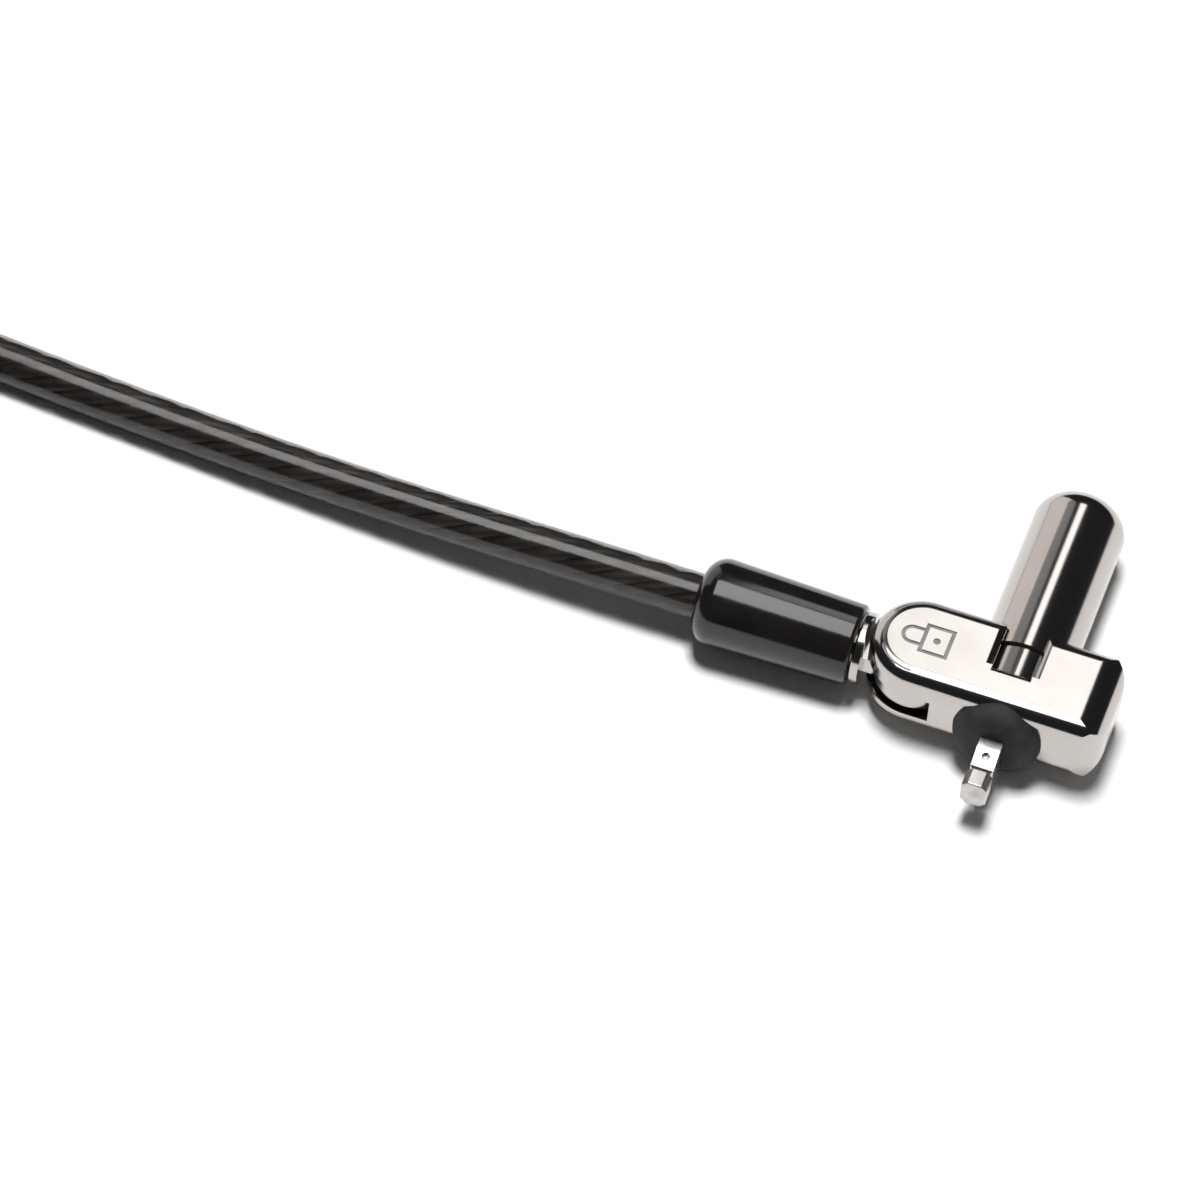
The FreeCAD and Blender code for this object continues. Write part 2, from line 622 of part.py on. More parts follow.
def nose_guide():
    """Fixed steel nose that fills the security slot, on a flange inside the head."""
    flange = rod(NOSE_FLANGE_R, along_barrel(NOSE_FLANGE_LOW_Y), along_barrel(NOSE_FLANGE_HIGH_Y))
    root = block(along_barrel(NOSE_BACK_Y - 1.5, -NOSE_HALF_W, -NOSE_ROOT_HALF_H),
                 along_barrel(NOSE_FLANGE_HIGH_Y, NOSE_HALF_W, NOSE_ROOT_HALF_H))
    outline = [(NOSE_BACK_Y, -NOSE_HALF_H), (NOSE_SLOPE_Y, -NOSE_HALF_H), (NOSE_END_Y, -NOSE_END_HALF_H),
               (NOSE_END_Y, NOSE_END_HALF_H), (NOSE_SLOPE_Y, NOSE_HALF_H), (NOSE_BACK_Y, NOSE_HALF_H),
               (NOSE_BACK_Y, -NOSE_HALF_H)]
    side = Part.makePolygon([along_barrel(y, -NOSE_HALF_W, dz) for y, dz in outline])
    nose = Part.Face(side).extrude(X_AXIS * 2 * NOSE_HALF_W)
    nose = nose.makeFillet(NOSE_CROWN_R, edges_where(nose, lambda p: near(p.y, NOSE_SLOPE_Y)))
    shoulders = edges_where(nose, lambda p: near(p.y, NOSE_BACK_Y)
                            and near(abs(p.z - MID_Z), NOSE_HALF_H))
    nose = nose.makeFillet(NOSE_SHOULDER_R, shoulders)
    nose = nose.makeChamfer(0.25, edges_where(nose, lambda p: near(p.y, NOSE_END_Y)))
    body = flange.fuse([root, nose])
    body = body.cut(rod(SPINDLE_R + RUN_CLEAR, along_barrel(NOSE_END_Y - 1), along_barrel(0)))
    pin_hole = rod(NOSE_PIN_R, along_barrel(NOSE_PIN_Y, 0, 1.2), along_barrel(NOSE_PIN_Y, 0, NOSE_HALF_H + 1))
    return body.cut(pin_hole).removeSplitter()


def nose_pin():
    """Small pin pressed into the nose's top face, its end a little below it."""
    return rod(NOSE_PIN_R, along_barrel(NOSE_PIN_Y, 0, 1.25), along_barrel(NOSE_PIN_Y, 0, NOSE_HALF_H - 0.55))


def rubber_bumper():
    """Soft dome that presses on the computer's case round its slot."""
    w = NOSE_HALF_W + RUBBER_CLEAR
    root_h = NOSE_ROOT_HALF_H + RUBBER_CLEAR
    nose_h = NOSE_HALF_H + RUBBER_CLEAR
    body = rod(RUBBER_R - 0.02, along_barrel(RUBBER_FRONT_Y), along_barrel(RUBBER_BACK_Y))
    body = body.makeFillet(RUBBER_EDGE_R, edges_where(body, lambda p: near(p.y, RUBBER_FRONT_Y)))
    body = body.cut(block(along_barrel(RUBBER_FRONT_Y - 1, -w, -root_h), along_barrel(0, w, root_h)))
    return body.cut(block(along_barrel(RUBBER_FRONT_Y - 1, -w, -nose_h),
                          along_barrel(NOSE_BACK_Y + RUBBER_CLEAR, w, nose_h)))


# ---------------------------------------------------------------- coil, ties and anchor loop
def cable_coil():
    """Outer shape of the wound cable: a ring of eight turns, two wide and four high."""
    ring = tube(COIL_OUTER_R, COIL_INNER_R, COIL_CENTRE, COIL_CENTRE + Z_AXIS * COIL_TOP_Z)
    rims = edges_where(ring, lambda p: near(p.z, 0) or near(p.z, COIL_TOP_Z))
    return ring.makeFillet(COIL_RIM_R, rims)


def coil_tie(degrees):
    """Strap wrapped over the bundle of turns, its ends tucked under the coil."""
    room_top = COIL_TOP_Z + TIE_GAP
    top = room_top + TIE_THICK
    grow = TIE_GAP + TIE_THICK
    band = tube(COIL_OUTER_R + grow, COIL_INNER_R - grow, COIL_CENTRE, COIL_CENTRE + Z_AXIS * top)
    band = band.makeFillet(COIL_RIM_R + 0.4, edges_where(band, lambda p: near(p.z, top)))
    room = tube(COIL_OUTER_R + TIE_GAP, COIL_INNER_R - TIE_GAP, COIL_CENTRE - Z_AXIS,
                COIL_CENTRE + Z_AXIS * room_top)
    room = room.makeFillet(COIL_RIM_R - 0.3, edges_where(room, lambda p: near(p.z, room_top)))
    wedge = block(V(0, -TIE_WIDTH / 2, -1), V(2 * COIL_OUTER_R, TIE_WIDTH / 2, top + 1))
    wedge.rotate(V(0, 0, 0), Z_AXIS, degrees)
    wedge.translate(COIL_CENTRE)
    return band.cut(room).common(wedge)


def along_tail(distance, side=0.0):
    """Point level with the cable's end, along its last heading and to one side of it."""
    heading = TAIL_ROUTE[-1] - TAIL_ROUTE[-2]
    heading.z = 0
    heading.normalize()
    return TAIL_ROUTE[-1] + heading * distance + Z_AXIS.cross(heading) * side


def anchor_loop():
    """Closed eye of the same cable: out of the crimp, round, and back into it."""
    one_side, radii = route_wire([
        along_tail(EYE_START, STRAND_SIDE),
        along_tail(EYE_NECK, STRAND_SIDE),
        along_tail(EYE_FLARE, EYE_HALF_W),
        along_tail(EYE_TURN, EYE_HALF_W),
    ])
    other_side = one_side.mirror(TAIL_ROUTE[-1], along_tail(0, 1) - TAIL_ROUTE[-1])
    bend = arc(along_tail(EYE_TURN, EYE_HALF_W), along_tail(EYE_TURN + EYE_HALF_W),
               along_tail(EYE_TURN, -EYE_HALF_W))
    wire = Part.Wire(Part.__sortEdges__(one_side.Edges + [bend] + other_side.Edges))
    start = along_tail(EYE_START, STRAND_SIDE)
    circle = Part.makeCircle(CABLE_R, start, along_tail(EYE_NECK, STRAND_SIDE) - start)
    solid = wire.makePipeShell([Part.Wire(circle)], True, False)
    expected = math.pi * CABLE_R ** 2 * wire.Length
    print("anchor_loop length", round(wire.Length, 1), "radii", radii,
          "volume", round(solid.Volume, 1), "expected", round(expected, 1))
    return solid


def loop_crimp():
    """Pressed steel sleeve that holds the cable's end back on itself."""
    r = CABLE_R + CRIMP_WALL
    strands = [rod(r, along_tail(0, side), along_tail(CRIMP_LENGTH, side))
               for side in (STRAND_SIDE, -STRAND_SIDE)]
    slab = Part.makeBox(CRIMP_LENGTH, 2 * STRAND_SIDE, 2 * r, V(0, -STRAND_SIDE, -r))
    turn = FreeCAD.Rotation(X_AXIS, along_tail(1) - TAIL_ROUTE[-1])
    slab.Placement = FreeCAD.Placement(TAIL_ROUTE[-1], turn)
    return slab.fuse(strands).removeSplitter()


# ---------------------------------------------------------------- build
def build():
    pieces = {
        "head_housing": head_housing(),
        "pivot_pin": pivot_pin(),
        "pivot_washer_lower": pivot_washer(SLOT_LOW_Z + 0.02, TONGUE_LOW_Z - 0.03),
        "pivot_washer_upper": pivot_washer(TONGUE_TOP_Z + 0.03, SLOT_TOP_Z - 0.02),
        "hinge_knuckle": hinge_knuckle(),
        "swivel_clip": swivel_clip(),
        "swivel_washer": swivel_washer(),
        "swivel_bush": swivel_bush(),
        "cable_ferrule": cable_ferrule(),
        "strain_sleeve": strain_sleeve(),
        "barrel_shell": barrel_shell(),
        "barrel_body": barrel_body(),
        "barrel_lock_pin": barrel_lock_pin(),
        "key_plug": key_plug(),
        "key_pins": key_pins(),
        "driver_pins": driver_pins(),
        "pin_springs": pin_springs(),
        "core_clip": core_clip(),
        "drive_spindle": drive_spindle(),
        "nose_guide": nose_guide(),
        "nose_pin": nose_pin(),
        "rubber_bumper": rubber_bumper(),
        "cable_lead": cable_along("cable_lead", LEAD_ROUTE),
        "cable_coil": cable_coil(),
        "cable_tail": cable_along("cable_tail", TAIL_ROUTE),
        "anchor_loop": anchor_loop(),
        "loop_crimp": loop_crimp(),
    }
    for number, degrees in enumerate(TIE_DEGS, start=1):
        pieces["coil_tie_" + str(number)] = coil_tie(degrees)
    os.makedirs("parts", exist_ok=True)
    for name, shape in pieces.items():
        shape.exportStep("parts/" + name + ".step")
        print(name, "valid", shape.isValid(), "solids", len(shape.Solids), "volume", round(shape.Volume, 2))


build()
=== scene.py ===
# %% [markdown]
# # A laptop cable lock
#
# The lock is a bright metal head with a key barrel across it. It pivots on a knuckle, and the
# knuckle swivels in a black sleeve at the end of a steel cable. The moving frame comes ready
# made from the CAD model: this script only gives it its looks. Everything is in metres and in
# the frame's own place, so a new piece lands where the frame says it is, with no fitting.
# Sizes that are easier to read in millimetres are multiplied by MM.

import json
import math

import bmesh
import bpy
from mathutils import Matrix, Vector

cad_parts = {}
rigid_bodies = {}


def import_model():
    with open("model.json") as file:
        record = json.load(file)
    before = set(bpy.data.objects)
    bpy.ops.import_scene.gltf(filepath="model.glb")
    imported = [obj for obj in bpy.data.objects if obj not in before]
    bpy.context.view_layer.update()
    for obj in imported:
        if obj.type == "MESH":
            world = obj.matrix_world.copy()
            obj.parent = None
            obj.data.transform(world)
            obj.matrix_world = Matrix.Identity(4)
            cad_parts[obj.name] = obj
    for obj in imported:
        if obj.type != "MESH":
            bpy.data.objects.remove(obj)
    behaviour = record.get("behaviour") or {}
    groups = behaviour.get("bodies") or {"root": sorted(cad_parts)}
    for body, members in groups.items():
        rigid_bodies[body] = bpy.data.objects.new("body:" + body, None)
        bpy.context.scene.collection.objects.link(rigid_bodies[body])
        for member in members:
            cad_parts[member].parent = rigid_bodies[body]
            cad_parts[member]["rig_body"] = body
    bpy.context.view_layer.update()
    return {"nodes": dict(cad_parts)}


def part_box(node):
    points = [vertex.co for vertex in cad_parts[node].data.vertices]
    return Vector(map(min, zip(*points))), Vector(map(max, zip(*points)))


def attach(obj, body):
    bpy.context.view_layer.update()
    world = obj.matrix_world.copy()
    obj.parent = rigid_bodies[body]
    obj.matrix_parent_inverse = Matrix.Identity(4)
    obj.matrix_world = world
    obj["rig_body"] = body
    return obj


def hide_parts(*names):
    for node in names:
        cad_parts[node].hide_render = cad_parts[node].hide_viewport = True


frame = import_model()
MM = 0.001

# %% [markdown]
# ## Camera
#
# A small bright object is best seen from far away through a long lens, which keeps its
# parallel edges parallel. The camera stands above and in front of the head and is tilted a
# little, so that the cable runs up to the left. It looks past the head, towards the cable, and
# the head sits in the right half of the view.

# %% Camera
AZIMUTH = math.radians(12.0)
ELEVATION = math.radians(54.5)
ROLL = math.radians(7.7)
DISTANCE = 0.733
LENS_MM = 200
SENSOR_MM = 36
HINGE = Vector((0, 0, 5.3 * MM))
FRAME_RIGHT = 35.2 * MM          # how far the hinge stands right of the view's centre
FRAME_DOWN = 7.25 * MM

back = Vector((math.sin(AZIMUTH) * math.cos(ELEVATION),
               -math.cos(AZIMUTH) * math.cos(ELEVATION),
               math.sin(ELEVATION)))
level_right = Vector((math.cos(AZIMUTH), math.sin(AZIMUTH), 0))
level_up = back.cross(level_right)
right = level_right * math.cos(ROLL) + level_up * math.sin(ROLL)
up = level_up * math.cos(ROLL) - level_right * math.sin(ROLL)

eye = HINGE + back * DISTANCE
target = HINGE - right * FRAME_RIGHT + up * FRAME_DOWN
look_back = (eye - target).normalized()
look_right = up.cross(look_back).normalized()
look_up = look_back.cross(look_right)

camera_data = bpy.data.cameras.new("camera")
camera_data.lens = LENS_MM
camera_data.sensor_width = SENSOR_MM
camera_data.clip_start = 0.05
camera_data.clip_end = 20
camera = bpy.data.objects.new("camera", camera_data)
turn = Matrix((look_right, look_up, look_back)).transposed().to_4x4()
camera.matrix_world = Matrix.Translation(eye) @ turn
bpy.context.scene.collection.objects.link(camera)
bpy.context.scene.camera = camera
print("camera stands at, mm:", [round(x / MM) for x in eye])

# %% [markdown]
# ## The cable's route
#
# A steel cable in a vinyl jacket is stiff: it leaves its sleeve dead straight, sinks to the
# table in a long slope and drifts a little sideways. What isn't in use is wound in a flat coil
# of eight turns and strapped. The route is a list of points in metres. The coil's turns are a
# spiral that goes in and out again, one layer on the other, so a loop works them out.

# %% Points of the cable
CABLE_R = 0.0026
LEAD = [
    (-0.0142, 0, 0.0053),
    (-0.033, 0, 0.0053),
    (-0.052, 0.0004, 0.0044),
    (-0.074, 0.0015, 0.00315),
    (-0.097, 0.0031, 0.0026),
    (-0.119, 0.0048, 0.0026),
    (-0.1385, 0.00667, 0.0026),
]
TAIL = [
    (-0.1385, 0.00667, 0.0188),
    (-0.155, 0.0076, 0.0186),
    (-0.172, 0, 0.0152),
    (-0.1826, -0.0145, 0.0102),
    (-0.1844, -0.033, 0.0056),
    (-0.1776, -0.0515, 0.0036),
    (-0.1638, -0.0665, 0.0032),
    (-0.145, -0.0735, 0.0034),
]
COIL_CENTRE = Vector((-0.1415, -0.0272, 0))
OUTER_TURN_R = 0.034
TURN_PITCH = 0.0054
TURNS_PER_LAYER = 2
LAYERS = 4
START_ANGLE = math.radians(85)
STEPS_PER_TURN = 16
CLIMB_TURNS = 0.14               # how early, in turns, the cable starts to climb to a new layer


def coil_points():
    """Points of the wound turns, between the lead's last point and the tail's first."""
    rim = 1 / math.cos(math.pi / STEPS_PER_TURN)     # the spline runs inside its points
    points = []
    for step in range(1, LAYERS * TURNS_PER_LAYER * STEPS_PER_TURN):
        turns = step / STEPS_PER_TURN
        layer = min(int(turns / TURNS_PER_LAYER), LAYERS - 1)
        along = turns - layer * TURNS_PER_LAYER
        inward = along if layer % 2 == 0 else TURNS_PER_LAYER - along
        radius = (OUTER_TURN_R - inward * TURN_PITCH) * rim
        climb = 0.0
        if layer < LAYERS - 1:
            climb += 0.5 * max(0, 1 - (TURNS_PER_LAYER - along) / CLIMB_TURNS)
        if layer > 0:
            climb -= 0.5 * max(0, 1 - along / CLIMB_TURNS)
        angle = START_ANGLE + turns * 2 * math.pi
        height = CABLE_R + (layer + climb) * TURN_PITCH
        spoke = Vector((radius * math.cos(angle), radius * math.sin(angle), height))
        points.append(COIL_CENTRE + spoke)
    return points


route = [Vector(p) for p in LEAD] + coil_points() + [Vector(p) for p in TAIL]
print("cable route:", len(route), "points")

# %% [markdown]
# ## Laying a cable along a route
#
# The real cable is six steel strands twisted round a seventh, in a smoke-tinted clear jacket.
# The jacket is a smooth spline with a round bevel. The strands are wanted in the jacket's real
# middle, so the spline is turned into a plain line first, and each strand winds round that
# line as a helix. A helix made this way keeps its pitch through every bend.
#
# Blender counts a point's radius as part of a curve's size, even before there is a bevel. So
# each point carries the true radius, and the bevel's depth is 1, which leaves it unchanged.

# %% Jacket and strands
STRANDS = 6
STRAND_R = 0.0008
LAY_R = 0.00158                  # from the cable's middle to a strand's middle
LAY_PITCH = 0.026                # one full twist
UNIT_BEVEL = 1.0                 # the points carry the radius
CABLE_STEPS = 8                  # line points between two points of the route
EYE_STEPS = 10


def smooth_line(name, points, resolution):
    """One open spline on these points, each with the cable's own radius."""
    curve = bpy.data.curves.new(name, "CURVE")
    curve.dimensions = "3D"
    curve.resolution_u = resolution
    spline = curve.splines.new("NURBS")
    spline.points.add(len(points) - 1)
    for control, place in zip(spline.points, points):
        control.co = (*place, 1)
        control.radius = CABLE_R
    spline.order_u = 3
    spline.use_endpoint_u = True
    obj = bpy.data.objects.new(name, curve)
    bpy.context.scene.collection.objects.link(obj)
    return obj


def read_line(obj):
    """The points that a spline really runs through."""
    mesh = bpy.data.meshes.new_from_object(obj)
    places = [v.co.copy() for v in mesh.vertices]
    bpy.data.meshes.remove(mesh)
    return places


def twist_strands(name, places):
    """Strands round a line: one straight core and six helices."""
    curve = bpy.data.curves.new(name, "CURVE")
    curve.dimensions = "3D"
    curve.bevel_depth = UNIT_BEVEL
    curve.bevel_resolution = 2
    curve.use_fill_caps = True
    across = (places[1] - places[0]).orthogonal().normalized()
    travelled = 0.0
    rows = []
    for i, place in enumerate(places):
        ahead = places[min(i + 1, len(places) - 1)] - places[max(i - 1, 0)]
        ahead.normalize()
        across = (across - ahead * across.dot(ahead)).normalized()
        if i:
            travelled += (place - places[i - 1]).length
        rows.append((place, across.copy(), ahead.cross(across), travelled))
    for strand in range(STRANDS + 1):
        reach = LAY_R if strand else 0.0
        spline = curve.splines.new("POLY")
        spline.points.add(len(rows) - 1)
        for control, (place, side, other, distance) in zip(spline.points, rows):
            angle = -2 * math.pi * (distance / LAY_PITCH + strand / STRANDS)
            co = place + (side * math.cos(angle) + other * math.sin(angle)) * reach
            control.co = (*co, 1)
            control.radius = STRAND_R
    obj = bpy.data.objects.new(name, curve)
    bpy.context.scene.collection.objects.link(obj)
    return obj


def jacket_on(obj):
    """Give a bare spline its round section."""
    obj.data.bevel_depth = UNIT_BEVEL
    obj.data.bevel_resolution = 8
    obj.data.use_fill_caps = True


cable = smooth_line("steel_cable", route, CABLE_STEPS)
cable_line = read_line(cable)
strands = twist_strands("cable_strands", cable_line)
jacket_on(cable)

# %% [markdown]
# ## Anchor eye
#
# The cable's far end turns back into a pressed sleeve and makes an eye, which goes round a
# desk leg, or lets the head pass through it. It is drawn in its own flat axes, along the
# cable's last heading and across it, as one half, and the other half is its mirror image. It
# lies level, as high above the table as the wall of the pressed sleeve lifts it.

# %% Eye of the same cable
heading = Vector(TAIL[-1]) - Vector(TAIL[-2])
heading.z = 0
heading.normalize()
across = Vector((0, 0, 1)).cross(heading)
NECK_SIDE = 0.00265
EYE_R = 0.011
EYE_START = 0.009                # inside the pressed sleeve
EYE_NECK = 0.017
EYE_FLARE = 0.026
EYE_BELLY = 0.0335
EYE_TURN = 0.038                 # from here on the eye is half a circle
BEND_STEPS = 6
half = [(EYE_START, NECK_SIDE), (EYE_NECK, NECK_SIDE), (EYE_FLARE, EYE_R), (EYE_BELLY, EYE_R * 1.01)]
bend = []
for step in range(BEND_STEPS):
    angle = math.pi / 2 - math.pi * (step + 0.5) / BEND_STEPS
    reach = EYE_R / math.cos(math.pi / 2 / BEND_STEPS)
    bend.append((EYE_TURN + reach * math.cos(angle), reach * math.sin(angle)))
flat_eye = half + bend + [(along, -side) for along, side in reversed(half)]
eye_points = [Vector(TAIL[-1]) + heading * along + across * side for along, side in flat_eye]
eye_jacket = smooth_line("anchor_eye", eye_points, EYE_STEPS)
eye_strands = twist_strands("anchor_eye_strands", read_line(eye_jacket))
jacket_on(eye_jacket)
print("eye points:", len(eye_points))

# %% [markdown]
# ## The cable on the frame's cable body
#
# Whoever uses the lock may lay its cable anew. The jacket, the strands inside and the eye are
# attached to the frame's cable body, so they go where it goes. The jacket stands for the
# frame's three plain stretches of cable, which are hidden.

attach(cable, "cable")
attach(strands, "cable")
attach(eye_jacket, "cable")
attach(eye_strands, "cable")
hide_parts("cable_lead", "cable_coil", "cable_tail")
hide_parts("anchor_loop")

# %% [markdown]
# ## A shared surface effect
#
# Handled metal and plastic are never equally smooth all over: there are faint cloudy patches,
# fine scratches and a grain. All finishes here use the same effect at their own scale, so it
# is one node group. It gives out only what changes over the surface: a colour, a roughness and
# a height. Everything that is constant stays on the shader.

# %% Node group for handled surfaces


def handled_surface():
    """Two noises, coarse and fine, mixed into a colour, a roughness and a height."""
    group = bpy.data.node_groups.new("handled_surface", "ShaderNodeTree")
    face = group.interface
    for name, kind in (("Vector", "NodeSocketVector"), ("Clean", "NodeSocketColor"),
                       ("Worn", "NodeSocketColor"), ("Patch Scale", "NodeSocketFloat"),
                       ("Grain Scale", "NodeSocketFloat"), ("Polish", "NodeSocketFloat"),
                       ("Spread", "NodeSocketFloat")):
        face.new_socket(name=name, in_out="INPUT", socket_type=kind)
    for name, kind in (("Color", "NodeSocketColor"), ("Roughness", "NodeSocketFloat"),
                       ("Height", "NodeSocketFloat")):
        face.new_socket(name=name, in_out="OUTPUT", socket_type=kind)
    nodes = group.nodes
    wire = group.links.new
    entry = nodes.new("NodeGroupInput")
    leave = nodes.new("NodeGroupOutput")
    patch = nodes.new("ShaderNodeTexNoise")
    patch.inputs["Detail"].default_value = 3
    grain = nodes.new("ShaderNodeTexNoise")
    grain.inputs["Detail"].default_value = 2
    for noise, scale in ((patch, "Patch Scale"), (grain, "Grain Scale")):
        wire(entry.outputs["Vector"], noise.inputs["Vector"])
        wire(entry.outputs[scale], noise.inputs["Scale"])
    contrast = nodes.new("ShaderNodeMapRange")
    contrast.inputs["From Min"].default_value = 0.38
    contrast.inputs["From Max"].default_value = 0.68
    wire(patch.outputs["Fac"], contrast.inputs["Value"])
    tint = nodes.new("ShaderNodeMix")
    tint.data_type = "RGBA"
    wire(contrast.outputs["Result"], tint.inputs["Factor"])
    wire(entry.outputs["Clean"], tint.inputs["A"])
    wire(entry.outputs["Worn"], tint.inputs["B"])
    both = nodes.new("ShaderNodeMath")
    both.operation = "MULTIPLY"
    wire(contrast.outputs["Result"], both.inputs[0])
    wire(grain.outputs["Fac"], both.inputs[1])
    rough = nodes.new("ShaderNodeMath")
    rough.operation = "MULTIPLY_ADD"
    wire(both.outputs[0], rough.inputs[0])
    wire(entry.outputs["Spread"], rough.inputs[1])
    wire(entry.outputs["Polish"], rough.inputs[2])
    wire(tint.outputs["Result"], leave.inputs["Color"])
    wire(rough.outputs[0], leave.inputs["Roughness"])
    wire(grain.outputs["Fac"], leave.inputs["Height"])
    return group


HANDLED = handled_surface()
print("node group:", HANDLED.name)

# %% [markdown]
# ## Finishes
#
# Each finish is one Principled shader with the shared effect in front of it. Stretching the
# coordinates of the effect turns round grain into brush marks: a turned part is brushed along
# one axis, a tumbled one in no direction at all. Grain is given in millimetres, as seen with a
# ruler on the part.

# %% Finish builder


def finish(name, clean, worn, polish, spread, patch_mm, grain_mm,
           stretch=(1, 1, 1), bump_mm=0.0, **sockets):
    """A Principled material whose colour, roughness and bump come from the shared effect."""
    material = bpy.data.materials.new(name)
    material.use_nodes = True
    nodes = material.node_tree.nodes
    wire = material.node_tree.links.new
    shader = nodes["Principled BSDF"]
    place = nodes.new("ShaderNodeTexCoord")
    squeeze = nodes.new("ShaderNodeMapping")
    squeeze.inputs["Scale"].default_value = stretch
    effect = nodes.new("ShaderNodeGroup")
    effect.node_tree = HANDLED
    effect.inputs["Clean"].default_value = (*clean, 1)
    effect.inputs["Worn"].default_value = (*worn, 1)
    effect.inputs["Patch Scale"].default_value = 1 / (patch_mm * MM)
    effect.inputs["Grain Scale"].default_value = 1 / (grain_mm * MM)
    effect.inputs["Polish"].default_value = polish
    effect.inputs["Spread"].default_value = spread
    wire(place.outputs["Object"], squeeze.inputs["Vector"])
    wire(squeeze.outputs["Vector"], effect.inputs["Vector"])
    wire(effect.outputs["Color"], shader.inputs["Base Color"])
    wire(effect.outputs["Roughness"], shader.inputs["Roughness"])
    if bump_mm:
        bump = nodes.new("ShaderNodeBump")
        bump.inputs["Strength"].default_value = 1.0
        bump.inputs["Distance"].default_value = bump_mm * MM
        wire(effect.outputs["Height"], bump.inputs["Height"])
        wire(bump.outputs["Normal"], shader.inputs["Normal"])
    for socket, value in sockets.items():
        shader.inputs[socket.replace("_", " ")].default_value = value
    return material


# %% [markdown]
# The head, the knuckle and the barrel are nickel-plated: a metal of middle brightness, slightly
# warm and nearly mirror-smooth. The nose and the T-bar are plain steel, ground one way. The
# jacket could be real glass with transmission, but then no lamp would reach the strands inside
# it. So it is half see-through by its alpha instead, and a high index of refraction gives the
# weakened surface its full streak of light back.

# %% The lock's finishes
nickel = finish("polished_nickel", (0.535, 0.505, 0.48), (0.515, 0.485, 0.46), 0.13, 0.03, 4.0, 0.25,
                bump_mm=0.0004, Metallic=1.0)
satin = finish("satin_steel", (0.60, 0.585, 0.56), (0.46, 0.44, 0.42), 0.26, 0.22, 1.6, 0.10,
               stretch=(1, 0.15, 1), bump_mm=0.004, Metallic=1.0)
turned_steel = finish("turned_steel", (0.66, 0.65, 0.64), (0.55, 0.54, 0.53), 0.22, 0.18, 2.0, 0.12,
                      stretch=(4, 1, 1), bump_mm=0.003, Metallic=1.0)
brass = finish("turned_brass", (0.78, 0.60, 0.30), (0.60, 0.44, 0.22), 0.20, 0.2, 1.5, 0.12,
               stretch=(1, 4, 1), bump_mm=0.002, Metallic=1.0)
rubber = finish("moulded_rubber", (0.020, 0.021, 0.023), (0.034, 0.035, 0.038), 0.62, 0.2, 1.8, 0.12,
                bump_mm=0.012, Specular_IOR_Level=0.35)
gloss_black = finish("gloss_black_moulding", (0.008, 0.0075, 0.007), (0.014, 0.012, 0.011), 0.12, 0.12,
                     5.0, 0.5, bump_mm=0.0015, Coat_Weight=0.35, Coat_Roughness=0.08)
nylon = finish("woven_nylon_strap", (0.012, 0.012, 0.013), (0.03, 0.03, 0.032), 0.55, 0.3, 1.2, 0.35,
               stretch=(1, 1, 3), bump_mm=0.06, Sheen_Weight=0.3)
mark_paint = finish("grey_mark_paint", (0.20, 0.195, 0.19), (0.27, 0.26, 0.255), 0.4, 0.2, 1.0, 0.1,
                    bump_mm=0.002)
galvanised = finish("galvanised_strand", (0.125, 0.11, 0.10), (0.05, 0.042, 0.038), 0.36, 0.3, 1.6, 0.2,
                    stretch=(0.3, 1, 1), bump_mm=0.01, Metallic=0.6)
smoke_vinyl = finish("smoke_clear_vinyl", (0.012, 0.010, 0.009), (0.022, 0.019, 0.017), 0.12, 0.10,
                     6.0, 0.6, bump_mm=0.0015, Alpha=0.55, IOR=1.8)
cable.data.materials.append(smoke_vinyl)
eye_jacket.data.materials.append(smoke_vinyl)
strands.data.materials.append(galvanised)
eye_strands.data.materials.append(galvanised)
print("finishes:", len(bpy.data.materials))

# %% [markdown]
# ## Cleaning up the frame's own parts
#
# The visible parts are copied and finished, and the frame's own parts are left alone. There
# are two ways. The head, the knuckle, the barrel's body and the rubber have their rounded
# edges already, and their surfaces carry the exact directions of the CAD model, so that
# mirror-like faces reflect as true flats and rounds. They are copied as they are, with no
# merging, which would lose those directions. The small sharp-edged parts need the tiny radius
# that catches the light: their triangles are merged, their flat areas are joined again, and a
# bevel rounds the edges. Either way the copy stands for the frame's part.

# %% Copy and refine a part
CREASE = math.radians(28)        # a sharper angle than this is an edge
WELD = 0.002 * MM                # corners closer than this are one
FLAT = math.radians(0.4)         # faces that turn less than this are one flat face
EDGE_SEGMENTS = 2


